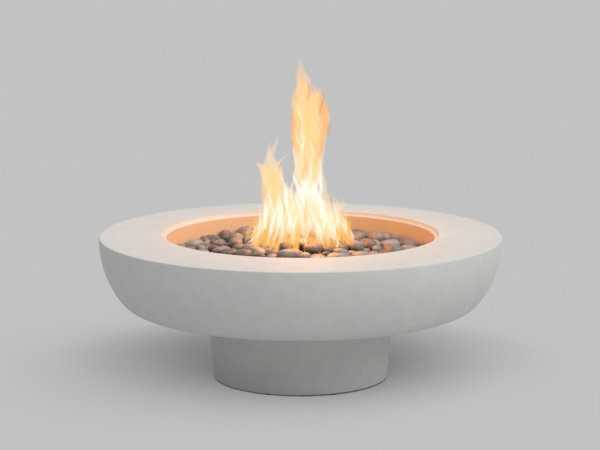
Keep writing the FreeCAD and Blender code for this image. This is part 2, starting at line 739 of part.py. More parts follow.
def make_valve():
    """A quarter-turn ball valve, clamped through the panel by its threaded neck."""
    neck_end = f"({PANEL_FACE} + mount_thread_reach)"
    chamber_top = f"({VALVE_Z} + {CHAMBER_HALF})"
    shell = joined(
        cylinder("valve_diameter / 2", "2 * valve_half_length", y=VALVE_Y, z=VALVE_FOOT),
        cylinder("valve_neck / 2", "valve_setback", y=VALVE_Y, z=VALVE_Z, rotation=ALONG_Y),
        cylinder("valve_flange / 2", "valve_flange_thickness", y=f"{PANEL_BACK} - valve_flange_thickness",
                 z=VALVE_Z, rotation=ALONG_Y),
        cylinder("mount_thread / 2", "panel_thickness + mount_thread_reach", y=PANEL_BACK,
                 z=VALVE_Z, rotation=ALONG_Y),
    )
    piece(less(
        shell,
        cylinder(CHAMBER_R, f"{chamber_top} - {VALVE_FOOT}", y=VALVE_Y, z=VALVE_FOOT),
        cylinder("valve_outlet / 2", "valve_half_length", y=VALVE_Y, z=VALVE_Z),
        cylinder("tube_diameter / 2 + thread_gap", "tube_socket", y=VALVE_Y, z=f"{VALVE_TOP} - tube_socket"),
        cylinder("stem_diameter / 2 + stem_gap", f"{neck_end} - {VALVE_Y}", y=VALVE_Y, z=VALVE_Z,
                 rotation=ALONG_Y),
        cylinder("packing_diameter / 2", "packing_depth", y=f"{neck_end} - packing_depth",
                 z=VALVE_Z, rotation=ALONG_Y),
    ), "valve_body")

    seats = []
    for level in (f"{chamber_top} - valve_seat_height", f"{VALVE_Z} - {CHAMBER_HALF}"):
        ring = cylinder(f"{CHAMBER_R} - thread_gap", "valve_seat_height", y=VALVE_Y, z=level)
        bore = cylinder("ball_bore / 2", "valve_seat_height", y=VALVE_Y, z=level)
        seats.append(less(ring, bore, sphere("ball_diameter / 2 + ball_gap", y=VALVE_Y, z=VALVE_Z)))
    piece(group(seats), "valve_seats")

    slot_floor = f"({VALVE_Y} + ball_diameter / 2 - tang_depth - ball_gap)"
    slot = box("ball_diameter", "ball_diameter", "tang_width + 2 * tang_gap",
               "-ball_diameter / 2", slot_floor, f"{VALVE_Z} - tang_width / 2 - tang_gap")
    waterway = cylinder("ball_bore / 2", "ball_diameter", y=VALVE_Y, z=f"{VALVE_Z} - ball_diameter / 2")
    piece(less(sphere("ball_diameter / 2", y=VALVE_Y, z=VALVE_Z), waterway, slot), "valve_ball")

    stem_start = f"({VALVE_Y} + ball_diameter / 2 + ball_gap)"
    stem = cylinder("stem_diameter / 2", f"{PANEL_FACE} + {STEM_END} - {stem_start}", y=stem_start,
                    z=VALVE_Z, rotation=ALONG_Y)
    tang_length = "tang_depth + ball_gap"
    tang_start = f"{stem_start} - ({tang_length})"
    tang = doc.addObject("Part::Common", "Tang")
    tang.Base = cylinder("stem_diameter / 2", tang_length, y=tang_start, z=VALVE_Z, rotation=ALONG_Y)
    tang.Tool = box("stem_diameter", tang_length, "tang_width",
                    "-stem_diameter / 2", tang_start, f"{VALVE_Z} - tang_width / 2")
    piece(joined(stem, tang), "valve_stem")

    packing = cylinder("packing_diameter / 2 - thread_gap", "packing_depth", y=f"{neck_end} - packing_depth",
                       z=VALVE_Z, rotation=ALONG_Y)
    stem_hole = cylinder("stem_diameter / 2 + stem_gap", "packing_depth", y=f"{neck_end} - packing_depth",
                         z=VALVE_Z, rotation=ALONG_Y)
    piece(less(packing, stem_hole), "stem_packing")

    thread_foot = f"({VALVE_FOOT} - inlet_hex_height - inlet_thread_length)"
    cone = doc.addObject("Part::Cone", "Flare")
    cone.setExpression("Radius1", bound("inlet_cone_end / 2"))
    cone.setExpression("Radius2", bound("inlet_thread / 2"))
    cone.setExpression("Height", bound("inlet_cone"))
    place(cone, y=VALVE_Y, z=f"{thread_foot} - inlet_cone")
    plug_top = f"({VALVE_Z} - {CHAMBER_HALF})"
    fitting = joined(
        cylinder(f"{CHAMBER_R} - thread_gap", f"{plug_top} - {VALVE_FOOT}", y=VALVE_Y, z=VALVE_FOOT),
        hexagon("inlet_hex_width", "inlet_hex_height", y=VALVE_Y, z=f"{VALVE_FOOT} - inlet_hex_height"),
        cylinder("inlet_thread / 2", "inlet_thread_length", y=VALVE_Y, z=thread_foot),
        cone,
    )
    bore = cylinder("inlet_bore / 2", f"{plug_top} - {thread_foot} + inlet_cone", y=VALVE_Y,
                    z=f"{thread_foot} - inlet_cone")
    piece(less(fitting, bore), "inlet_fitting")


def make_knob():
    """The bezel and nut on the panel, and a fluted knob with an index line and a grub screw."""
    bezel = turned("knob_bezel", [
        ("mount_thread / 2 + mount_hole_gap", "0"),
        ("bezel_diameter / 2", "0"),
        ("bezel_diameter / 2", "bezel_thickness / 2"),
        ("bezel_diameter / 2 - bezel_thickness", "bezel_thickness"),
        ("mount_thread / 2 + mount_hole_gap", "bezel_thickness"),
    ])
    place(bezel, y=PANEL_FACE, z=VALVE_Z, rotation=ALONG_Y)
    nut_foot = f"{PANEL_FACE} + bezel_thickness"
    nut = hexagon("mount_nut_width", "mount_nut_height", y=nut_foot, z=VALVE_Z, rotation=ALONG_Y)
    thread = cylinder("mount_thread / 2 + thread_gap", "mount_nut_height", y=nut_foot, z=VALVE_Z,
                      rotation=ALONG_Y)
    piece(less(nut, thread), "valve_nut")

    hollow = "(mount_nut_width / 2 / cos(30) + knob_hollow_gap)"
    web = f"({KNOB_FRONT} - knob_web)"
    bore_end = f"({KNOB_FRONT} - knob_arris)"
    bore = "(stem_diameter / 2 + knob_bore_gap)"
    knob = turned("control_knob", [
        (hollow, KNOB_BACK),
        ("knob_diameter / 2", KNOB_BACK),
        ("knob_diameter / 2", bore_end, "left", "knob_arris"),
        ("knob_diameter / 2 - knob_arris", KNOB_FRONT),
        ("0", KNOB_FRONT),
        ("0", bore_end),
        (bore, bore_end),
        (bore, web),
        (hollow, web),
    ])
    flute = sketch_on(knob, "XY_Plane", f"{KNOB_BACK} + flute_start")
    middle = "(knob_diameter / 2 + flute_diameter / 2 - flute_depth)"
    circle_in(flute, f"{middle} * cos(360 / flute_count / 2)", f"{middle} * sin(360 / flute_count / 2)",
              "flute_diameter / 2")
    around(knob, pocket(knob, flute, "knob_length", True), "flute_count")
    index = sketch_on(knob, "XY_Plane", KNOB_FRONT)
    tip = "(knob_diameter / 2 - knob_arris)"
    outline_in(index, [
        ("-index_width / 2", f"-{tip}"),
        ("index_width / 2", f"-{tip}"),
        ("index_width / 2", f"-{tip} + index_length"),
        ("-index_width / 2", f"-{tip} + index_length"),
    ])
    pocket(knob, index, "index_depth")
    screw_level = f"({web} + knob_web / 2 - knob_arris / 2)"
    tapped = sketch_on(knob, "YZ_Plane")
    circle_in(tapped, "0", screw_level, "screw_diameter / 2")
    pocket(knob, tapped, "knob_diameter", True)
    place(knob, y=PANEL_FACE, z=VALVE_Z, rotation=ALONG_Y)
    screw = cylinder("screw_diameter / 2 - thread_gap", "screw_length", "stem_diameter / 2 + thread_gap",
                     f"{PANEL_FACE} + {screw_level}", VALVE_Z, ALONG_X)
    piece(screw, "knob_screw")


def kites():
    """The 24 kites of a round solid in the unit sphere, their corners anticlockwise seen from outside."""
    middle = math.sqrt(0.5)
    far = (2 * math.sqrt(2) + 1) / 7
    for signs in itertools.product((1, -1), repeat=3):
        for first in range(3):
            sides = [[middle * signs[axis] if axis in (first, second) else 0 for axis in range(3)]
                     for second in ((first + 1) % 3, (first + 2) % 3)]
            tip = [signs[axis] if axis == first else 0 for axis in range(3)]
            kite = [tip, sides[0], [far * sign for sign in signs], sides[1]]
            yield kite if math.prod(signs) > 0 else kite[::-1]


class Stone:
    """A tumbled stone: the round solid of 24 kites, stretched to its half axes and turned on its centre."""

    def __init__(self, half_axes, rotation):
        self.kites = [[rotation.multVec(Vector(*(half * part for half, part in zip(half_axes, corner))))
                       for corner in kite] for kite in kites()]
        self.corners = [corner for kite in self.kites for corner in kite]
        self.centre = Vector()
        self.sink = -min(corner.z for corner in self.corners)
        self.rise = max(corner.z for corner in self.corners)
        self.spread = max(math.hypot(corner.x, corner.y) for corner in self.corners)
        self.lower, self.upper = [], []
        for first, second, third, _ in self.kites:
            normal = (second - first).cross(third - first)
            if abs(normal.z) > SAME_PLACE:
                plane_at = (normal.dot(first) / normal.z, -normal.x / normal.z, -normal.y / normal.z)
                (self.upper if normal.z > 0 else self.lower).append(plane_at)

    def span(self, x, y):
        """Its lowest and highest level over a place, crossed over where the place is outside its outline."""
        return (max([level + across * x + along * y for level, across, along in self.lower]),
                min([level + across * x + along * y for level, across, along in self.upper]))

    def solid(self):
        rings = [[self.centre + corner for corner in (*kite, kite[0])] for kite in self.kites]
        shell = Part.makeShell([Part.Face(Part.makePolygon(ring)) for ring in rings])
        shell.sewShape()
        return Part.makeSolid(shell)


class Ball:
    """A round stand-in for a bit of the burner, which stones rest on."""

    def __init__(self, centre, radius):
        self.centre = centre
        self.rise = radius
        self.spread = radius

    def span(self, x, y):
        inside = self.rise - math.hypot(x, y)
        half = math.sqrt(self.rise ** 2 - x ** 2 - y ** 2) if inside > 0 else inside
        return -half, half


def highest(curve, low, high, steps):
    """The value at the highest point of a curve with one summit, by golden section."""
    left, right = high - GOLDEN * (high - low), low + GOLDEN * (high - low)
    at_left, at_right = curve(left), curve(right)
    for _ in range(steps):
        if at_left > at_right:
            high, right, at_right = right, left, at_left
            left = high - GOLDEN * (high - low)
            at_left = curve(left)
        else:
            low, left, at_left = left, right, at_right
            right = low + GOLDEN * (high - low)
            at_right = curve(right)
    return max(at_left, at_right)


def height_over(stone, other, steps):
    """How far above another one's centre a stone's centre must be for the two to touch."""
    across, along = stone.centre.x - other.centre.x, stone.centre.y - other.centre.y
    spans = [(max(-other.spread, offset - stone.spread), min(other.spread, offset + stone.spread))
             for offset in (across, along)]
    if any(low >= high for low, high in spans):
        return -math.inf

    def overlap_at(x, y):
        other_bottom, other_top = other.span(x, y)
        bottom, top = stone.span(x - across, y - along)
        outside = max(other_bottom - other_top, 0) + max(bottom - top, 0)
        return other_top - bottom - OUTSIDE_COST * outside

    return highest(lambda x: highest(lambda y: overlap_at(x, y), *spans[1], steps), *spans[0], steps)


def resting_height(stone, others, floor, gap, steps):
    """How high a stone's centre comes to lie when it is lowered on to the floor and what lies there."""
    height = floor + gap / 2 + stone.sink
    for other in sorted(others, key=lambda other: -other.centre.z - other.rise):
        if other.centre.z + other.rise + gap + stone.sink <= height:
            break
        distance = math.hypot(stone.centre.x - other.centre.x, stone.centre.y - other.centre.y)
        if distance < stone.spread + other.spread:
            height = max(height, other.centre.z + height_over(stone, other, steps) + gap)
    return height


def burner_balls():
    """Round stand-ins all along the burner's rings and spokes and over its hub."""
    level = number(RING_Z)
    balls = []

    def spread_round(radius, count, height, size):
        for index in range(count):
            angle = 2 * math.pi * index / count
            balls.append(Ball(Vector(radius * math.cos(angle), radius * math.sin(angle), height), size))

    for ring in ("outer_ring", "inner_ring"):
        radius = number(ring) / 2
        spread_round(radius, math.ceil(2 * math.pi * radius / STAND_IN_STEP), level, number("ring_tube") / 2)
    spokes = round(number("spoke_count"))
    for step in range(STAND_IN_STEP, round(number("outer_ring") / 2), STAND_IN_STEP):
        spread_round(step, spokes, level, number("spoke_tube") / 2)
    arris = number("hub_arris")
    hub_reach = number("hub_diameter") / 2 - arris
    for ring in range(HUB_RINGS):
        spread_round(hub_reach * ring / (HUB_RINGS - 1), max(1, HUB_RING_SHARE * ring),
                     level + number("hub_height") / 2 - arris, arris)
    return balls


def inside_wall(stone, wall):
    """Moves a stone inwards until its outline is clear of the inner wall."""
    away = Vector(stone.centre.x, stone.centre.y, 0)
    reach = max(math.hypot(away.x + corner.x, away.y + corner.y) for corner in stone.corners)
    if reach > wall:
        stone.centre -= away.normalize() * (reach - wall)


def chance_stone(chance, length_range):
    """A stone of chance size and turn, lying more or less on its flat side."""
    length, width, depth = (
        chance.uniform(number(f"{size}_least"), number(f"{size}_most"))
        for size in (length_range, "stone_width_share", "stone_depth_share"))
    half_axes = (length / 2, length / 2 * width, length / 2 * depth)
    heading = FreeCAD.Rotation(Vector(0, 0, 1), chance.uniform(0, 360))
    tilt_axis = chance.choice((Vector(1, 0, 0), Vector(0, 1, 0)))
    tilt = FreeCAD.Rotation(tilt_axis, chance.gauss(0, number("stone_tilt")))
    return Stone(half_axes, heading * tilt)


def make_stones():
    """Tumbled lava stones lowered one by one into the pan, each at the best of many places, heaped a little
    towards the middle: first all over, then over the burner, and then small ones in the gaps."""
    chance = random.Random(STONE_SEED)
    gap = number("stone_gap")
    floor = number(PAN_TOP)
    wall = number(SKIRT_FOOT_R) - gap
    limit = number("rim_height") - number("stone_rim_gap")
    heaping = number("stone_heap")
    stones = []
    below = burner_balls()
    rounds = (
        ("stone_count", "stone_length", wall),
        ("cover_count", "stone_length", number("outer_ring / 2 + ring_tube")),
        ("filler_count", "filler_length", wall),
    )
    for count, length_range, reach in rounds:
        for _ in range(round(number(count))):
            stone = chance_stone(chance, length_range)
            spots = []
            for _ in range(round(number("stone_tries"))):
                radius, angle = reach * math.sqrt(chance.random()), chance.uniform(0, 2 * math.pi)
                stone.centre = Vector(radius * math.cos(angle), radius * math.sin(angle), 0)
                inside_wall(stone, wall)
                stone.centre.z = resting_height(stone, below, floor, gap, QUICK_STEPS)
                spots.append(Vector(stone.centre))
            stone.centre = min(spots, key=lambda spot: spot.z + heaping * math.hypot(spot.x, spot.y))
            stone.centre.z = resting_height(stone, below, floor, gap, FINE_STEPS)
            if stone.centre.z + stone.rise < limit:
                stones.append(stone)
                below.append(stone)
    bed = piece(doc.addObject("Part::Feature", "Stones"), "lava_stones")
    bed.Shape = Part.makeCompound([stone.solid() for stone in stones])
    print(len(stones), "stones, highest", round(max(stone.centre.z + stone.rise for stone in stones), 1))


make_bowl()
make_pedestal()
make_bowl_fixing()
make_pan()
make_burner()
make_mixer()
make_feed_tube()
make_valve()
make_knob()
make_stones()
doc.recompute()

for item in doc.Objects:
    if "Invalid" in item.State or "Error" in item.State:
        raise ValueError(f"{item.Name} of {item.Label} failed: {item.State}")
for part in pieces:
    if part.Shape.isNull() or not part.Shape.isValid() or not part.Shape.Solids:
        raise ValueError(f"{part.Label} has no valid solid")
os.makedirs("parts", exist_ok=True)
for part in pieces:
    part.Shape.exportStep(f"parts/{part.Label}.step")
    print(part.Label, len(part.Shape.Solids), "solids,", round(part.Shape.Volume / 1000, 1), "cm3")
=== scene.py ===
import json
import math
import random

import bpy
import numpy as np
from mathutils import Matrix, Vector
from mathutils.bvhtree import BVHTree


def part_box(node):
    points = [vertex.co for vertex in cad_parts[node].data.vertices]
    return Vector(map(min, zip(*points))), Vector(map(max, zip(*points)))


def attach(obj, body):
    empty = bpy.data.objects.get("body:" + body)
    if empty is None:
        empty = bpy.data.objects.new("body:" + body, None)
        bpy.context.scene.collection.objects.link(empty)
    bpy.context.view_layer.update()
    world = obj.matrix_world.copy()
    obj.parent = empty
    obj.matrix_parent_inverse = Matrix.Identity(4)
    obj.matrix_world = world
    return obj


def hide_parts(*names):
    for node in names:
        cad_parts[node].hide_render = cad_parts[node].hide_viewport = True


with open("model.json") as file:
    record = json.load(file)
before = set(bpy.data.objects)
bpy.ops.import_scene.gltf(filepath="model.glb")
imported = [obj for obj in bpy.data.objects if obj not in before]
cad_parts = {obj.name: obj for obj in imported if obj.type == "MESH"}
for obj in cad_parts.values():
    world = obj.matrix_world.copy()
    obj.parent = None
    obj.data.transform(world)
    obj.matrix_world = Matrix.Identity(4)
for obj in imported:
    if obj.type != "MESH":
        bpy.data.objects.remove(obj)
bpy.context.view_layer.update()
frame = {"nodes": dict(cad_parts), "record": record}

scene = bpy.context.scene
scene.view_settings.view_transform = "Standard"
bpy.ops.object.select_all(action="DESELECT")
print("frame loaded,", len(frame["nodes"]), "nodes")


def linear(hexColour):
    parts = [int(hexColour[i:i + 2], 16) / 255 for i in (1, 3, 5)]
    return [c / 12.92 if c <= 0.04045 else ((c + 0.055) / 1.055) ** 2.4 for c in parts] + [1.0]


def addNode(tree, kind, links=None, **settings):
    node = tree.nodes.new(kind)
    for name, value in settings.items():
        setattr(node, name, value)
    for socket, value in (links or {}).items():
        if isinstance(value, bpy.types.NodeSocket):
            tree.links.new(value, node.inputs[socket])
        else:
            node.inputs[socket].default_value = value
    return node


def newMaterial(name):
    material = bpy.data.materials.new(name)
    material.use_nodes = True
    material.node_tree.nodes.clear()
    return material, material.node_tree


def perMetre(millimetres):
    return 1000 / millimetres  # texture scale for a feature of that size


mixShare, mixFirst, mixSecond, mixColour = 0, 6, 7, 2  # sockets of a Mix node that mixes colours
noiseRange = (0.3, 0.7)  # where most of a noise texture's values lie


# Glass-fibre concrete, cast in a smooth mould and sealed: a pale matte skin with soft clouds, a fine sandy
# grain and a few pinholes where air sat against the mould, darkened with painted shade in the holes
castConcrete = {
    "pale": "#d5d5d2", "mid": "#d1d1ce", "dark": "#c9c9c5", "pinhole": "#a2a29e",
    "cloud": 170, "mottle": 34, "grain": 2.2,  # mm
    "pinholeSpacing": 38, "pinholeRadius": 1.0,  # mm
    "pinholeEdge": (0.6, 1.4), "pinholeFrom": 0.62,  # shares of the radius, and how few cells hold one
    "cloudRange": (0.36, 0.64), "mottleRange": (0.4, 0.72), "mottleShare": 0.55,
    "roughness": (0.66, 0.82), "ior": 1.5, "specular": 0.35,
    "pinholeDepth": -2.0, "bump": 0.22, "bumpHeight": 0.0006,  # m
    # the wall round the fire, in a sandy tan that is partly heat staining and partly the flame's orange glow
    # painted in, up to the ledge
    "heatTanAndFlameGlow": "#cbb497", "heatTanAndGlowRadius": (0.408, 0.409), "heatTanAndGlowLevels": (0.33, 0.34, 0.4305, 0.4335),  # m
}


def makeConcrete(look):
    material, tree = newMaterial("castConcrete")
    place = addNode(tree, "ShaderNodeTexCoord").outputs["Object"]
    cloud = addNode(tree, "ShaderNodeTexNoise", {
        "Vector": place, "Scale": perMetre(look["cloud"]), "Detail": 3.0, "Roughness": 0.6})
    mottle = addNode(tree, "ShaderNodeTexNoise", {
        "Vector": place, "Scale": perMetre(look["mottle"]), "Detail": 5.0, "Roughness": 0.62})
    grain = addNode(tree, "ShaderNodeTexNoise", {
        "Vector": place, "Scale": perMetre(look["grain"]), "Detail": 2.0})
    holes = addNode(tree, "ShaderNodeTexVoronoi", {
        "Vector": place, "Scale": perMetre(look["pinholeSpacing"]), "Randomness": 1.0})
    edge = look["pinholeRadius"] / look["pinholeSpacing"]
    hole = addNode(tree, "ShaderNodeMapRange", {
        "Value": holes.outputs["Distance"],
        "From Min": edge * look["pinholeEdge"][0], "From Max": edge * look["pinholeEdge"][1],
        "To Min": 1.0, "To Max": 0.0})
    chosen = addNode(tree, "ShaderNodeMath", {
        0: holes.outputs["Color"], 1: look["pinholeFrom"]}, operation="GREATER_THAN")
    pinhole = addNode(tree, "ShaderNodeMath", {0: hole.outputs[0], 1: chosen.outputs[0]}, operation="MULTIPLY")
    cloudShare = addNode(tree, "ShaderNodeMapRange", {
        "Value": cloud.outputs["Fac"], "From Min": look["cloudRange"][0], "From Max": look["cloudRange"][1]})
    mottleShare = addNode(tree, "ShaderNodeMapRange", {
        "Value": mottle.outputs["Fac"], "From Min": look["mottleRange"][0], "From Max": look["mottleRange"][1],
        "To Max": look["mottleShare"]})
    clouded = addNode(tree, "ShaderNodeMix", {
        mixShare: cloudShare.outputs[0], mixFirst: linear(look["mid"]), mixSecond: linear(look["pale"])},
        data_type="RGBA")
    mottled = addNode(tree, "ShaderNodeMix", {
        mixShare: mottleShare.outputs[0], mixFirst: clouded.outputs[mixColour], mixSecond: linear(look["dark"])},
        data_type="RGBA")
    apart = addNode(tree, "ShaderNodeSeparateXYZ", {0: place})
    flat = addNode(tree, "ShaderNodeCombineXYZ", {0: apart.outputs[0], 1: apart.outputs[1]})
    away = addNode(tree, "ShaderNodeVectorMath", {0: flat.outputs[0]}, operation="LENGTH")
    # painted glow: the inner wall below the ledge takes a sandy tan, partly heat staining and partly the flame's
    # orange light painted in
    near = addNode(tree, "ShaderNodeMapRange", {
        "Value": away.outputs["Value"], "From Min": look["heatTanAndGlowRadius"][0], "From Max": look["heatTanAndGlowRadius"][1],
        "To Min": 1.0, "To Max": 0.0})
    above = addNode(tree, "ShaderNodeMapRange", {
        "Value": apart.outputs[2], "From Min": look["heatTanAndGlowLevels"][0], "From Max": look["heatTanAndGlowLevels"][1],
        "To Max": near.outputs[0]})
    below = addNode(tree, "ShaderNodeMapRange", {
        "Value": apart.outputs[2], "From Min": look["heatTanAndGlowLevels"][2], "From Max": look["heatTanAndGlowLevels"][3],
        "To Min": above.outputs[0], "To Max": 0.0})
    heatTanAndFlameGlow = addNode(tree, "ShaderNodeMix", {
        mixShare: below.outputs[0], mixFirst: mottled.outputs[mixColour], mixSecond: linear(look["heatTanAndFlameGlow"])},
        data_type="RGBA")
    # painted shade: the pinholes take a darker colour for the shade inside them
    pitted = addNode(tree, "ShaderNodeMix", {
        mixShare: pinhole.outputs[0], mixFirst: heatTanAndFlameGlow.outputs[mixColour], mixSecond: linear(look["pinhole"])},
        data_type="RGBA")
    rough = addNode(tree, "ShaderNodeMapRange", {
        "Value": mottle.outputs["Fac"], "From Min": noiseRange[0], "From Max": noiseRange[1],
        "To Min": look["roughness"][0], "To Max": look["roughness"][1]})
    relief = addNode(tree, "ShaderNodeMath", {
        0: pinhole.outputs[0], 1: look["pinholeDepth"], 2: grain.outputs["Fac"]}, operation="MULTIPLY_ADD")
    bump = addNode(tree, "ShaderNodeBump", {
        "Height": relief.outputs[0], "Strength": look["bump"], "Distance": look["bumpHeight"]})
    shader = addNode(tree, "ShaderNodeBsdfPrincipled", {
        "Base Color": pitted.outputs[mixColour], "Roughness": rough.outputs[0], "Normal": bump.outputs[0],
        "IOR": look["ior"], "Specular IOR Level": look["specular"]})
    addNode(tree, "ShaderNodeOutputMaterial", {"Surface": shader.outputs[0]})
    return material


# Basalt lava, tumbled until the edges are round: dull brown-grey stones of slightly different tone, with open
# pores darkened with painted shade, and a dusty, uneven skin
tumbledLava = {
    "tones": ["#444140", "#807d7d", "#725a4f", "#989493", "#595350", "#a2968f"],
    "dust": "#aaa6a5", "dustShare": 0.45,
    "pore": "#3a3432", "poreSpacing": 3.6, "poreRadius": 0.6, "patch": 14, "grain": 1.6,  # mm
    "poreEdge": (0.5, 1.5), "poreShare": 0.4,  # shares of the radius, and of the cells that hold one
    "openRange": (0.4, 0.6), "dustRange": (0.42, 0.7),
    "roughness": (0.36, 0.62), "ior": 1.5, "specular": 0.5,
    "poreDepth": -1.5, "bump": 0.6, "bumpHeight": 0.001,  # m
}


def makeLava(look):
    material, tree = newMaterial("tumbledLava")
    place = addNode(tree, "ShaderNodeTexCoord").outputs["Object"]
    tone = addNode(tree, "ShaderNodeAttribute", attribute_name="stoneTone").outputs["Fac"]
    ramp = addNode(tree, "ShaderNodeValToRGB", {"Fac": tone})
    stops = ramp.color_ramp.elements
    while len(stops) < len(look["tones"]):
        stops.new(0.5)
    for index, hexColour in enumerate(look["tones"]):
        stops[index].position = index / (len(look["tones"]) - 1)
        stops[index].color = linear(hexColour)
    patch = addNode(tree, "ShaderNodeTexNoise", {
        "Vector": place, "Scale": perMetre(look["patch"]), "Detail": 4.0, "Roughness": 0.6})
    grain = addNode(tree, "ShaderNodeTexNoise", {
        "Vector": place, "Scale": perMetre(look["grain"]), "Detail": 2.0})
    pores = addNode(tree, "ShaderNodeTexVoronoi", {
        "Vector": place, "Scale": perMetre(look["poreSpacing"]), "Randomness": 1.0})
    edge = look["poreRadius"] / look["poreSpacing"]
    pore = addNode(tree, "ShaderNodeMapRange", {
        "Value": pores.outputs["Distance"],
        "From Min": edge * look["poreEdge"][0], "From Max": edge * look["poreEdge"][1],
        "To Min": 1.0, "To Max": 0.0})
    # only some cells hold a pore, and pores come in patches
    cell = addNode(tree, "ShaderNodeMath", {
        0: pores.outputs["Color"], 1: look["poreShare"]}, operation="LESS_THAN")
    openSkin = addNode(tree, "ShaderNodeMapRange", {
        "Value": patch.outputs["Fac"], "From Min": look["openRange"][0], "From Max": look["openRange"][1],
        "To Max": cell.outputs[0]})
    pore = addNode(tree, "ShaderNodeMath", {0: pore.outputs[0], 1: openSkin.outputs[0]}, operation="MULTIPLY")
    dust = addNode(tree, "ShaderNodeMapRange", {
        "Value": patch.outputs["Fac"], "From Min": look["dustRange"][0], "From Max": look["dustRange"][1],
        "To Max": look["dustShare"]})
    dusted = addNode(tree, "ShaderNodeMix", {
        mixShare: dust.outputs[0], mixFirst: ramp.outputs[0], mixSecond: linear(look["dust"])},
        data_type="RGBA")
    # painted shade: the pores take a dark colour for the shade inside them
    pored = addNode(tree, "ShaderNodeMix", {
        mixShare: pore.outputs[0], mixFirst: dusted.outputs[mixColour], mixSecond: linear(look["pore"])},
        data_type="RGBA")
    rough = addNode(tree, "ShaderNodeMapRange", {
        "Value": patch.outputs["Fac"], "From Min": noiseRange[0], "From Max": noiseRange[1],
        "To Min": look["roughness"][0], "To Max": look["roughness"][1]})
    relief = addNode(tree, "ShaderNodeMath", {
        0: pore.outputs[0], 1: look["poreDepth"], 2: grain.outputs["Fac"]}, operation="MULTIPLY_ADD")
    bump = addNode(tree, "ShaderNodeBump", {
        "Height": relief.outputs[0], "Strength": look["bump"], "Distance": look["bumpHeight"]})
    shader = addNode(tree, "ShaderNodeBsdfPrincipled", {
        "Base Color": pored.outputs[mixColour], "Roughness": rough.outputs[0], "Normal": bump.outputs[0],
        "IOR": look["ior"], "Specular IOR Level": look["specular"]})
    addNode(tree, "ShaderNodeOutputMaterial", {"Surface": shader.outputs[0]})
    return material


# Metals, rubber and plastic of the burner and its fittings. Tool marks and grain are finer than the render can
# show, so their sizes, in mm across x, y and z, are drawn several times too coarse
plainFinishes = {
    # stainless sheet and tube, brushed: fine streaks and a soft grey shine
    "brushedStainless": {"colours": ("#b4b2ae", "#c6c4c0"), "metallic": 1.0, "roughness": (0.28, 0.42),
                         "streak": (3, 3, 0.6), "bump": 0.08},
    # stainless that has stood in the fire: dark, uneven scale with little shine, kept dark as painted shade in the
    # gaps between the stones
    "heatScaleAndShadeStainless": {"colours": ("#4d4844", "#6b645d"), "metallic": 1.0, "roughness": (0.42, 0.62),
                        "streak": (14, 14, 3), "bump": 0.08},
    # steel with bright zinc plating: cool grey with faint cloudy specks
    "zincPlatedSteel": {"colours": ("#a9acae", "#c2c5c6"), "metallic": 1.0, "roughness": (0.34, 0.5),
                        "streak": (4, 4, 4), "bump": 0.05},
    # brass turned on a lathe: warm yellow with fine rings
    "turnedBrass": {"colours": ("#c29e5b", "#ceab66"), "metallic": 1.0, "roughness": (0.24, 0.36),
                    "streak": (9, 9, 0.4), "bump": 0.04},
    # aluminium with a satin anodised skin: an even, pale shine
    "satinAluminium": {"colours": ("#b9babb", "#c9cacb"), "metallic": 1.0, "roughness": (0.3, 0.42),
                       "streak": (5, 0.7, 5), "bump": 0.06},
    # moulded rubber: dark grey and dull, with a fine grain
    "mouldedRubber": {"colours": ("#3a3a39", "#464645"), "metallic": 0.0, "roughness": (0.7, 0.88),
                      "streak": (2, 2, 2), "bump": 0.2},
    # machined PTFE: waxy white with faint tool marks
    "machinedPtfe": {"colours": ("#e2e0da", "#ecebe6"), "metallic": 0.0, "roughness": (0.4, 0.5),
                     "streak": (3, 3, 0.8), "bump": 0.04},
}
toolMarkHeight = 0.0004  # m


def makePlain(name, look):
    material, tree = newMaterial(name)
    place = addNode(tree, "ShaderNodeTexCoord").outputs["Object"]
    stretched = addNode(tree, "ShaderNodeMapping", {
        "Vector": place, "Scale": [perMetre(size) for size in look["streak"]]})
    streak = addNode(tree, "ShaderNodeTexNoise", {"Vector": stretched.outputs[0], "Scale": 1.0, "Detail": 4.0})
    colour = addNode(tree, "ShaderNodeMix", {
        mixShare: streak.outputs["Fac"],
        mixFirst: linear(look["colours"][0]), mixSecond: linear(look["colours"][1])}, data_type="RGBA")
    rough = addNode(tree, "ShaderNodeMapRange", {
        "Value": streak.outputs["Fac"], "From Min": noiseRange[0], "From Max": noiseRange[1],
        "To Min": look["roughness"][0], "To Max": look["roughness"][1]})
    bump = addNode(tree, "ShaderNodeBump", {
        "Height": streak.outputs["Fac"], "Strength": look["bump"], "Distance": toolMarkHeight})
    shader = addNode(tree, "ShaderNodeBsdfPrincipled", {
        "Base Color": colour.outputs[mixColour], "Roughness": rough.outputs[0], "Normal": bump.outputs[0],
        "Metallic": look["metallic"]})
    addNode(tree, "ShaderNodeOutputMaterial", {"Surface": shader.outputs[0]})
    return material


finishes = {name: makePlain(name, look) for name, look in plainFinishes.items()}
finishes["castConcrete"] = makeConcrete(castConcrete)
finishes["tumbledLava"] = makeLava(tumbledLava)
slotFinish = {
    "cast_concrete": "castConcrete", "lava_stone": "tumbledLava", "stainless_steel": "brushedStainless",
    "zinc_steel": "zincPlatedSteel", "brass": "turnedBrass", "rubber": "mouldedRubber",
    "ptfe": "machinedPtfe", "knob_metal": "satinAluminium",
}
inTheFire = (
    "burner_pan", "burner_outer_ring", "burner_inner_ring", "burner_spokes", "burner_hub", "burner_feet")
for subpart in frame["record"]["subparts"]:
    node = frame["nodes"][subpart["node"]]
    # the pan and burner take the dark heated finish, partly heat scale and partly painted shade where they show
    # between the stones
    finish = "heatScaleAndShadeStainless" if subpart["node"] in inTheFire else slotFinish[subpart["material_slot"]]
    node.data.materials.clear()
    node.data.materials.append(finishes[finish])
print("materials made")


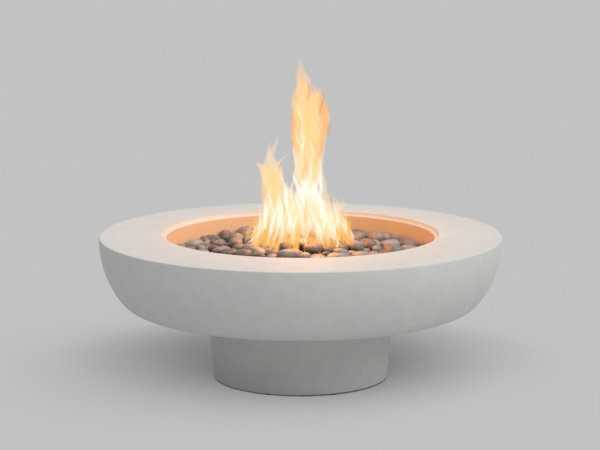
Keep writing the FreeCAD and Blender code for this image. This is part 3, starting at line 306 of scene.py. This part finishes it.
# Tumbled stones: a few pebbles are shaped once, a copy goes where each stone of the bed lies, and small ones
# lie on the pan in the gaps between them
stoneBed = {
    "kinds": 10, "seed": 7, "cuts": 2,
    "lumpy": 0.3, "lumpyAnyWay": 0.3, "lumpyOutward": 0.7, "round": 0.5, "passes": 2,
    "taperFrom": 0.2, "taper": (0.66, 0.95),  # shares of a half axis
    "swell": (0.97, 1.05, 1.14),  # a little plumper than the plain solids, in length, width and depth
    "chipTries": 6000, "chipRadius": (0.008, 0.017),  # m
    "chipSwell": (1.15, 0.95, 0.7), "chipTouch": 0.85,  # shares of the radius
    "chipReach": 0.38, "chipLevel": 0.009,  # m, from the axis and above the pan
    "wallFoot": 0.4,  # m, the wall round the bed
    "burner": ("burner_outer_ring", "burner_inner_ring", "burner_spokes", "burner_hub", "burner_feet",
               "burner_nipple", "pan_locknuts"),
}
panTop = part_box("burner_pan")[1][2]


def shapePebble(kind, look, chance):
    bpy.ops.mesh.primitive_cube_add(size=2)
    pebble = bpy.context.object
    bpy.ops.object.mode_set(mode="EDIT")
    bpy.ops.mesh.select_all(action="SELECT")
    bpy.ops.mesh.subdivide(number_cuts=look["cuts"])
    bpy.ops.transform.tosphere(value=1.0)
    bpy.ops.transform.vertex_random(
        offset=look["lumpy"], uniform=look["lumpyAnyWay"], normal=look["lumpyOutward"], seed=kind)
    bpy.ops.object.mode_set(mode="OBJECT")
    for vertex in pebble.data.vertices:
        vertex.select = vertex.co.x > look["taperFrom"]
    bpy.ops.object.mode_set(mode="EDIT")
    narrow = chance.uniform(*look["taper"])
    bpy.ops.transform.resize(value=(1, narrow, narrow), center_override=(0, 0, 0))
    bpy.ops.mesh.select_all(action="SELECT")
    bpy.ops.mesh.vertices_smooth(factor=look["round"], repeat=look["passes"])
    bpy.ops.object.mode_set(mode="OBJECT")
    reach = [max(abs(v.co[axis]) for v in pebble.data.vertices) for axis in range(3)]
    pebble.data.transform(Matrix.Diagonal([1 / r for r in reach] + [1]))
    return pebble


def stonePlaces(node):
    # the corners of each stone, gathered by walking its joined triangles
    corners, owners = {}, []

    def lead(index):
        while owners[index] != index:
            index = owners[index]
        return index

    mesh = node.data
    keys = [tuple(round(c, 6) for c in v.co) for v in mesh.vertices]  # to the micrometre
    for key in keys:
        if key not in corners:
            corners[key] = len(owners)
            owners.append(len(owners))
    for polygon in mesh.polygons:
        first, *rest = [lead(corners[keys[v]]) for v in polygon.vertices]
        for other in rest:
            owners[lead(other)] = lead(first)
    groups = {}
    for key, index in corners.items():
        groups.setdefault(lead(index), []).append(key)
    return [np.array(points) for points in groups.values()]


cornerSpread = 0.3228  # mean square of a corner's share of a half axis, on the 26 corners of each stone


def stoneTurns(look, chance):
    # where each stone lies: its centre, turn and half axes, as one matrix
    for points in stonePlaces(frame["nodes"]["lava_stones"]):
        centre = points.mean(axis=0)
        sizes, axes = np.linalg.eigh(np.cov((points - centre).T, bias=True))
        if np.linalg.det(axes) < 0:
            axes[:, 0] *= -1
        halves = np.sqrt(sizes / cornerSpread)
        turn = Matrix(axes.tolist()).to_4x4()
        swap = Matrix.Rotation(math.radians(90), 4, "Y")  # the pebble's long X axis on the last, longest axis
        flip = Matrix.Rotation(math.pi * chance.randrange(2), 4, chance.choice("XYZ"))
        size = Matrix.Diagonal([half * more for half, more in zip(halves[::-1], look["swell"])] + [1])
        yield Matrix.Translation(centre.tolist()) @ turn @ swap @ size @ flip


def chipTurns(look, laid, chance):
    # the room left on the pan, measured from the stones and the burner
    corners, faces = [], []
    for item in laid + [frame["nodes"][name] for name in look["burner"]]:
        first = len(corners)
        corners += [vertex.co.copy() for vertex in item.data.vertices]
        faces += [[first + corner for corner in face.vertices] for face in item.data.polygons]
    around = BVHTree.FromPolygons(corners, faces)
    least, most = look["chipRadius"]
    chips = []
    for _ in range(look["chipTries"]):
        angle, out = chance.uniform(0, 2 * math.pi), look["chipReach"] * math.sqrt(chance.random())
        spot = Vector((out * math.cos(angle), out * math.sin(angle), panTop + look["chipLevel"]))
        nearest, normal, _, distance = around.find_nearest(spot)
        room = min([distance] + [(spot - other).length - radius for other, radius in chips]) / look["chipTouch"]
        if room < least or (spot - nearest).dot(normal) < 0:
            continue
        radius = min(room, most)
        chips.append((spot, radius))
        size = Matrix.Diagonal([radius * share for share in look["chipSwell"]] + [1])
        rest = Matrix.Translation((spot.x, spot.y, panTop + radius * look["chipSwell"][2]))
        yield rest @ Matrix.Rotation(chance.uniform(0, 2 * math.pi), 4, "Z") @ size


def layStones(look):
    chance = random.Random(look["seed"])
    kinds = [shapePebble(kind, look, chance) for kind in range(look["kinds"])]

    def lay(turn):
        mesh = chance.choice(kinds).data.copy()
        mesh.transform(turn)
        # off the pan and the wall, which a plump pebble would cut into
        lowest = min(vertex.co.z for vertex in mesh.vertices)
        furthest = max((vertex.co.xy for vertex in mesh.vertices), key=lambda spot: spot.length)
        inward = furthest.normalized() * min(0, look["wallFoot"] - furthest.length)
        mesh.transform(Matrix.Translation((*inward, max(0, panTop - lowest))))
        tone = mesh.attributes.new("stoneTone", "FLOAT", "POINT")
        tone.data.foreach_set("value", [chance.random()] * len(mesh.vertices))
        stone = bpy.data.objects.new("stone", mesh)
        scene.collection.objects.link(stone)
        return stone

    laid = [lay(turn) for turn in stoneTurns(look, chance)]
    chips = [lay(turn) for turn in chipTurns(look, laid, chance)]
    for kind in kinds:
        bpy.data.objects.remove(kind)
    bpy.ops.object.select_all(action="DESELECT")
    for stone in laid + chips:
        stone.select_set(True)
    bpy.context.view_layer.objects.active = laid[0]
    bpy.ops.object.join()
    bed = bpy.context.object
    bed.name = bed.data.name = "lavaStones"
    bpy.ops.object.shade_smooth()
    bed.data.materials.clear()
    bed.data.materials.append(finishes["tumbledLava"])
    print("stones laid,", len(laid), "and", len(chips), "small ones, with", len(bed.data.polygons), "faces")
    return bed


stones = layStones(stoneBed)
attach(stones, "base")
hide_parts("lava_stones")


# Plain pale floor, soft light from above, the front and the right, and the photograph's camera
studio = {
    "floor": "#cbcbcb", "floorSeen": "#686868", "floorPaintedFill": "#ababab", "horizon": "#c2c2c2",
    "floorSize": 120,  # m
    "liftFrom": (0, -0.94, 0.34), "liftReach": 0.6,  # m, the painted fill is shaded by what lies towards the front and a little up
    "liftRange": (0.5, 0.9), "liftLeast": 0.4,
    "paintedFootShadowRadius": (0.262, 0.266), "paintedFootShadowFill": 0.16,  # m, painted shadow: the floor under the pedestal gets little of the painted fill
    "ambient": 0.45, "sun": 1.96,
    "sunSoftness": 66, "sunTilt": (16, 30),  # degrees
    "cameraPlace": (0, -6.0, 1.4893), "cameraPitch": 80.34,  # m, degrees
    "focal": 120.2, "sensor": 36, "shift": -0.0008,  # mm, and a share of the width
}


def seenRays(tree):
    # what the camera sees, straight or in metal and glass
    path = addNode(tree, "ShaderNodeLightPath").outputs
    mirrored = addNode(tree, "ShaderNodeMath", {
        0: path["Is Camera Ray"], 1: path["Is Glossy Ray"]}, operation="MAXIMUM")
    return addNode(tree, "ShaderNodeMath", {
        0: mirrored.outputs[0], 1: path["Is Transmission Ray"]}, operation="MAXIMUM").outputs[0]


def setStudio(look):
    bpy.ops.mesh.primitive_plane_add(size=look["floorSize"])
    floor = bpy.context.object
    floor.name = "floor"
    material, tree = newMaterial("paleFloor")
    paper = addNode(tree, "ShaderNodeBsdfDiffuse", {"Color": linear(look["floor"])})
    # painted fill light: the camera sees the same paper with a glow added that fills its shadows in from the front,
    # less so where the bowl is in the way
    shaded = addNode(tree, "ShaderNodeBsdfDiffuse", {"Color": linear(look["floorSeen"])})
    front = addNode(tree, "ShaderNodeCombineXYZ", dict(enumerate(look["liftFrom"])))
    clear = addNode(tree, "ShaderNodeAmbientOcclusion", {
        "Normal": front.outputs[0], "Distance": look["liftReach"]})
    share = addNode(tree, "ShaderNodeMapRange", {
        "Value": clear.outputs["AO"], "From Min": look["liftRange"][0], "From Max": look["liftRange"][1],
        "To Min": look["liftLeast"]})
    place = addNode(tree, "ShaderNodeTexCoord").outputs["Object"]
    away = addNode(tree, "ShaderNodeVectorMath", {0: place}, operation="LENGTH").outputs["Value"]
    # painted shadow: inside the pedestal's foot the floor gets only a little of the painted fill
    outside = addNode(tree, "ShaderNodeMapRange", {
        "Value": away, "From Min": look["paintedFootShadowRadius"][0], "From Max": look["paintedFootShadowRadius"][1],
        "To Min": look["paintedFootShadowFill"], "To Max": share.outputs[0]})
    # painted fill light: a glow seen only by the camera, which lightens the floor's shadows
    paintedFill = addNode(tree, "ShaderNodeEmission", {
        "Color": linear(look["floorPaintedFill"]), "Strength": outside.outputs[0]})
    filled = addNode(tree, "ShaderNodeAddShader", {0: shaded.outputs[0], 1: paintedFill.outputs[0]})
    both = addNode(tree, "ShaderNodeMixShader", {0: seenRays(tree), 1: paper.outputs[0], 2: filled.outputs[0]})
    addNode(tree, "ShaderNodeOutputMaterial", {"Surface": both.outputs[0]})
    floor.data.materials.append(material)

    world = bpy.data.worlds.new("studioWorld")
    scene.world = world
    world.use_nodes = True
    tree = world.node_tree
    tree.nodes.clear()
    glow = addNode(tree, "ShaderNodeBackground", {"Color": (1, 1, 1, 1), "Strength": look["ambient"]})
    horizon = addNode(tree, "ShaderNodeBackground", {"Color": linear(look["horizon"]), "Strength": 1.0})
    both = addNode(tree, "ShaderNodeMixShader", {0: seenRays(tree), 1: glow.outputs[0], 2: horizon.outputs[0]})
    addNode(tree, "ShaderNodeOutputWorld", {"Surface": both.outputs[0]})

    lamp = bpy.data.lights.new("softSun", "SUN")
    lamp.energy = look["sun"]
    lamp.angle = math.radians(look["sunSoftness"])
    sun = bpy.data.objects.new("softSun", lamp)
    sun.rotation_euler = [math.radians(a) for a in (*look["sunTilt"], 0)]
    scene.collection.objects.link(sun)

    lens = bpy.data.cameras.new("photoCamera")
    lens.lens, lens.sensor_width, lens.shift_x = look["focal"], look["sensor"], look["shift"]
    camera = bpy.data.objects.new("photoCamera", lens)
    camera.location = look["cameraPlace"]
    camera.rotation_euler = (math.radians(look["cameraPitch"]), 0, 0)
    scene.collection.objects.link(camera)
    scene.camera = camera
    print("studio set")


setStudio(studio)


# The gas flame, which is burning gas and no piece of the bowl: many thin tongues of glowing air, each a closed
# skin filled with an even glow, so that they show white where many overlap and fade at their edges
flame = {
    "seed": 3, "sides": 6, "rings": 9,
    # colour and glow of a thick layer, and how much a metre of it hides
    "heat": {"root": ("#ffbe5c", 1.05, 70), "body": ("#ffdfb1", 1.14, 36), "core": ("#fff2e3", 1.3, 60),
             "veil": ("#ffcf8e", 1.12, 34), "edge": ("#ffb878", 0.95, 34), "ember": ("#f2a070", 0.85, 60),
             "flare": ("#ffa636", 0.97, 190), "glare": ("#fff4e6", 1.25, 190)},
    # outlines seen from the front, as heights with the middle and the half width there
    "outlines": {
        "fire": [(0.396, 0.0, 0.158), (0.44, 0.0, 0.138), (0.5, 0.004, 0.126), (0.54, 0.002, 0.12),
                 (0.575, -0.018, 0.092), (0.62, -0.03, 0.075), (0.7, -0.03, 0.05)],
        "column": [(0.5, 0.02, 0.05), (0.6, 0.026, 0.04), (0.68, 0.024, 0.036), (0.7, 0.018, 0.044),
                   (0.75, 0.023, 0.051), (0.82, 0.028, 0.051), (0.88, 0.022, 0.038), (0.93, 0.004, 0.018),
                   (0.99, 0.0, 0.002)],
        "plume": [(0.46, -0.085, 0.03), (0.55, -0.082, 0.036), (0.6, -0.084, 0.046), (0.65, -0.09, 0.046),
                  (0.68, -0.085, 0.022), (0.72, -0.08, 0.01)],
    },
    # tongues along an outline: outline, heat, count, shares of the half width, foot heights, rises, half widths
    "tongues": [
        ("fire", "root", 110, (0.85, 1.14), (0.385, 0.425), (0.05, 0.12), (0.005, 0.011)),
        ("fire", "core", 60, (0.8, 1.05), (0.4, 0.44), (0.05, 0.12), (0.003, 0.007)),
        ("fire", "root", 40, (0.6, 1.0), (0.43, 0.5), (0.08, 0.14), (0.004, 0.007)),
        ("fire", "body", 46, (0.0, 0.72), (0.42, 0.47), (0.09, 0.17), (0.009, 0.018)),
        ("fire", "body", 34, (0.7, 1.0), (0.42, 0.46), (0.08, 0.12), (0.008, 0.015)),
        ("fire", "core", 40, (0.0, 0.65), (0.43, 0.51), (0.09, 0.17), (0.006, 0.012)),
        ("fire", "core", 40, (0.6, 1.0), (0.42, 0.47), (0.07, 0.12), (0.005, 0.01)),
        ("column", "edge", 14, (0.8, 1.05), (0.6, 0.76), (0.12, 0.2), (0.01, 0.018)),
        ("column", "veil", 18, (0.0, 1.0), (0.56, 0.72), (0.18, 0.27), (0.016, 0.03)),
        ("column", "body", 22, (0.0, 1.0), (0.5, 0.74), (0.12, 0.2), (0.008, 0.016)),
        ("column", "core", 24, (0.0, 0.85), (0.48, 0.64), (0.14, 0.24), (0.006, 0.012)),
        ("plume", "veil", 12, (0.0, 1.0), (0.46, 0.56), (0.1, 0.17), (0.016, 0.026)),
        ("plume", "body", 14, (0.0, 1.0), (0.46, 0.56), (0.08, 0.14), (0.009, 0.015)),
        ("plume", "core", 10, (0.0, 0.9), (0.43, 0.52), (0.08, 0.15), (0.005, 0.009)),
        ("fire", "flare", 80, (0.5, 1.05), (0.385, 0.42), (0.04, 0.09), (0.003, 0.006)),
        ("fire", "glare", 60, (0.6, 1.05), (0.39, 0.43), (0.05, 0.1), (0.002, 0.004)),
        ("column", "core", 20, (0.0, 0.75), (0.62, 0.78), (0.09, 0.16), (0.003, 0.006)),
        ("column", "ember", 14, (0.5, 1.08), (0.7, 0.84), (0.05, 0.1), (0.004, 0.008)),
    ],
    # single tongues that the photograph shows: heat, half width, points along the tongue
    "singles": [
        ("veil", 0.034, [(0.01, 0, 0.6), (0.03, 0, 0.74), (0.03, 0, 0.88), (-0.004, 0, 0.92), (0.0, 0, 0.99)]),
        ("veil", 0.028, [(0.0, 0, 0.66), (-0.01, 0, 0.76), (-0.01, 0, 0.86), (-0.008, 0, 0.95)]),
        ("veil", 0.03, [(0.045, 0, 0.68), (0.06, 0, 0.78), (0.07, 0, 0.84), (0.045, 0, 0.9)]),
        ("edge", 0.02, [(0.05, 0, 0.7), (0.085, 0, 0.78), (0.085, 0, 0.84), (0.05, 0, 0.89)]),
        ("core", 0.008, [(0.002, -0.03, 0.63), (0.01, -0.03, 0.68), (0.006, -0.03, 0.73),
                         (0.004, -0.03, 0.78)]),
        ("core", 0.009, [(0.03, -0.03, 0.6), (0.036, -0.03, 0.66), (0.03, -0.03, 0.7), (0.038, -0.03, 0.76)]),
        ("body", 0.014, [(0.04, -0.03, 0.71), (0.055, -0.03, 0.77), (0.06, -0.03, 0.8), (0.05, -0.03, 0.85)]),
        ("ember", 0.007, [(0.018, -0.03, 0.84), (0.03, -0.03, 0.87), (0.018, -0.03, 0.89),
                          (0.022, -0.03, 0.915)]),
        ("ember", 0.008, [(0.05, -0.03, 0.79), (0.065, -0.03, 0.83), (0.07, -0.03, 0.85),
                          (0.06, -0.03, 0.885)]),
        ("body", 0.016, [(-0.08, 0, 0.54), (-0.1, 0, 0.64), (-0.08, 0, 0.69), (-0.071, 0, 0.765)]),
        ("body", 0.012, [(-0.085, 0, 0.58), (-0.08, 0, 0.66), (-0.06, 0, 0.65), (-0.036, 0, 0.7)]),
        ("body", 0.013, [(-0.09, 0, 0.6), (-0.12, 0, 0.66), (-0.095, 0, 0.69), (-0.076, 0, 0.74)]),
        ("veil", 0.03, [(-0.075, 0, 0.5), (-0.08, 0, 0.6), (-0.11, 0, 0.66), (-0.13, 0, 0.665)]),
        ("body", 0.024, [(-0.075, 0, 0.53), (-0.08, 0, 0.62), (-0.12, 0, 0.64), (-0.136, 0, 0.665)]),
        ("body", 0.012, [(0.11, -0.02, 0.47), (0.1, -0.02, 0.53), (0.14, 0, 0.53), (0.125, 0, 0.555)]),
        ("body", 0.01, [(0.12, -0.03, 0.43), (0.14, -0.02, 0.48), (0.13, 0, 0.5), (0.142, 0, 0.525)]),
        ("body", 0.02, [(0.08, -0.01, 0.44), (0.08, 0, 0.52), (0.06, 0, 0.59), (0.055, 0, 0.66)]),
        ("core", 0.009, [(0.06, -0.02, 0.46), (0.07, -0.02, 0.54), (0.055, -0.01, 0.6), (0.05, 0, 0.69)]),
        ("body", 0.016, [(0.11, -0.01, 0.42), (0.12, 0, 0.49), (0.11, 0, 0.54), (0.095, 0, 0.57)]),
        ("core", 0.007, [(0.1, -0.03, 0.42), (0.12, -0.02, 0.48), (0.105, 0, 0.53), (0.1, 0, 0.56)]),
        ("root", 0.005, [(-0.12, 0.02, 0.475), (-0.14, 0.02, 0.47), (-0.15, 0.02, 0.475), (-0.16, 0.02, 0.49)]),
    ],
    "fullness": 3.5, "footTaper": 0.7, "tipTaper": 1.2,  # full a third of the way up
    "bends": 3, "depth": 0.85, "flat": 0.6, "twist": 1.5,
    "sway": 0.009, "waver": 0.008, "waveLength": 0.09,  # m
    "lamps": [((0, -0.07, 0.53), 3.0, 0.08), ((0.035, 0, 0.68), 4.2, 0.08)],  # place, watts, size
    "lampColour": "#ffa038",
}


def flameHeat(name, hexColour, glow, hiding):
    material, tree = newMaterial("flame" + name.title())
    shine = addNode(tree, "ShaderNodeEmission", {"Color": linear(hexColour), "Strength": glow * hiding})
    soot = addNode(tree, "ShaderNodeVolumeAbsorption", {"Color": (0, 0, 0, 1), "Density": hiding})
    both = addNode(tree, "ShaderNodeAddShader", {0: shine.outputs[0], 1: soot.outputs[0]})
    addNode(tree, "ShaderNodeOutputMaterial", {"Volume": both.outputs[0]})
    return material


def shapeTongue(look):
    bpy.ops.object.select_all(action="DESELECT")
    bpy.ops.mesh.primitive_cylinder_add(vertices=look["sides"], radius=1, depth=1, location=(0, 0, 0.5))
    tongue = bpy.context.object
    bpy.ops.object.transform_apply()
    heights = [v.co.z for v in tongue.data.vertices]
    bpy.ops.object.mode_set(mode="EDIT")
    bpy.ops.mesh.select_all(action="DESELECT")
    bpy.ops.mesh.select_mode(type="EDGE")
    bpy.ops.object.mode_set(mode="OBJECT")
    for edge in tongue.data.edges:
        edge.select = abs(heights[edge.vertices[0]] - heights[edge.vertices[1]]) > 0.5
    bpy.ops.object.mode_set(mode="EDIT")
    bpy.ops.mesh.subdivide(number_cuts=look["rings"])
    bpy.ops.object.mode_set(mode="OBJECT")
    return tongue


def alongPath(points, share):
    points = [Vector(point) for point in points]
    while len(points) > 1:
        points = [first.lerp(second, share) for first, second in zip(points, points[1:])]
    return points[0]


def tonguePath(look, outline, shares, foot, rise, chance):
    heights, middles, halves = zip(*look["outlines"][outline])
    angle = chance.uniform(0, 2 * math.pi)
    out = math.sqrt(chance.uniform(shares[0] ** 2, shares[1] ** 2))  # even over the area
    points = []
    for step in range(look["bends"] + 1):
        z = foot + rise * step / look["bends"]
        middle, half = np.interp(z, heights, middles), np.interp(z, heights, halves)
        x = middle + half * out * math.cos(angle) + chance.gauss(0, look["sway"])
        y = look["depth"] * half * out * math.sin(angle) + chance.gauss(0, look["sway"])
        points.append((x, y, z))
    return points


def lightFlame(look):
    chance = random.Random(look["seed"])
    heats = {name: flameHeat(name, *values) for name, values in look["heat"].items()}
    pattern = shapeTongue(look)
    tongues = list(look["singles"])
    for outline, heat, count, shares, feet, rises, widths in look["tongues"]:
        for _ in range(count):
            path = tonguePath(look, outline, shares, chance.uniform(*feet), chance.uniform(*rises), chance)
            tongues.append((heat, chance.uniform(*widths), path))
    for heat, width, path in tongues:
        mesh = pattern.data.copy()
        turn, twist = chance.uniform(0, math.pi), chance.uniform(-look["twist"], look["twist"])
        start, waves = chance.uniform(0, 2 * math.pi), (path[-1][2] - path[0][2]) / look["waveLength"]
        for vertex in mesh.vertices:
            share = vertex.co.z
            swell = width * look["fullness"] * share ** look["footTaper"] * (1 - share) ** look["tipTaper"]
            across = Vector((vertex.co.x, vertex.co.y * look["flat"], 0)) * swell
            across.rotate(Matrix.Rotation(turn + twist * share, 3, "Z"))
            wave = start + 2 * math.pi * waves * share
            waver = Vector((math.sin(wave), math.cos(wave), 0)) * look["waver"] * share
            vertex.co = alongPath(path, share) + waver + across
        mesh.materials.append(heats[heat])
        tongue = bpy.data.objects.new("flameTongue", mesh)
        scene.collection.objects.link(tongue)
        tongue.visible_shadow = tongue.visible_diffuse = False  # the lamps in it light what is round it
    bpy.data.objects.remove(pattern)
    for place, power, size in look["lamps"]:
        lamp = bpy.data.lights.new("flameGlow", "POINT")
        lamp.energy, lamp.shadow_soft_size, lamp.color = power, size, linear(look["lampColour"])[:3]
        glow = bpy.data.objects.new("flameGlow", lamp)
        glow.location = place
        scene.collection.objects.link(glow)
    print("flame lit,", len(tongues), "tongues")


lightFlame(flame)
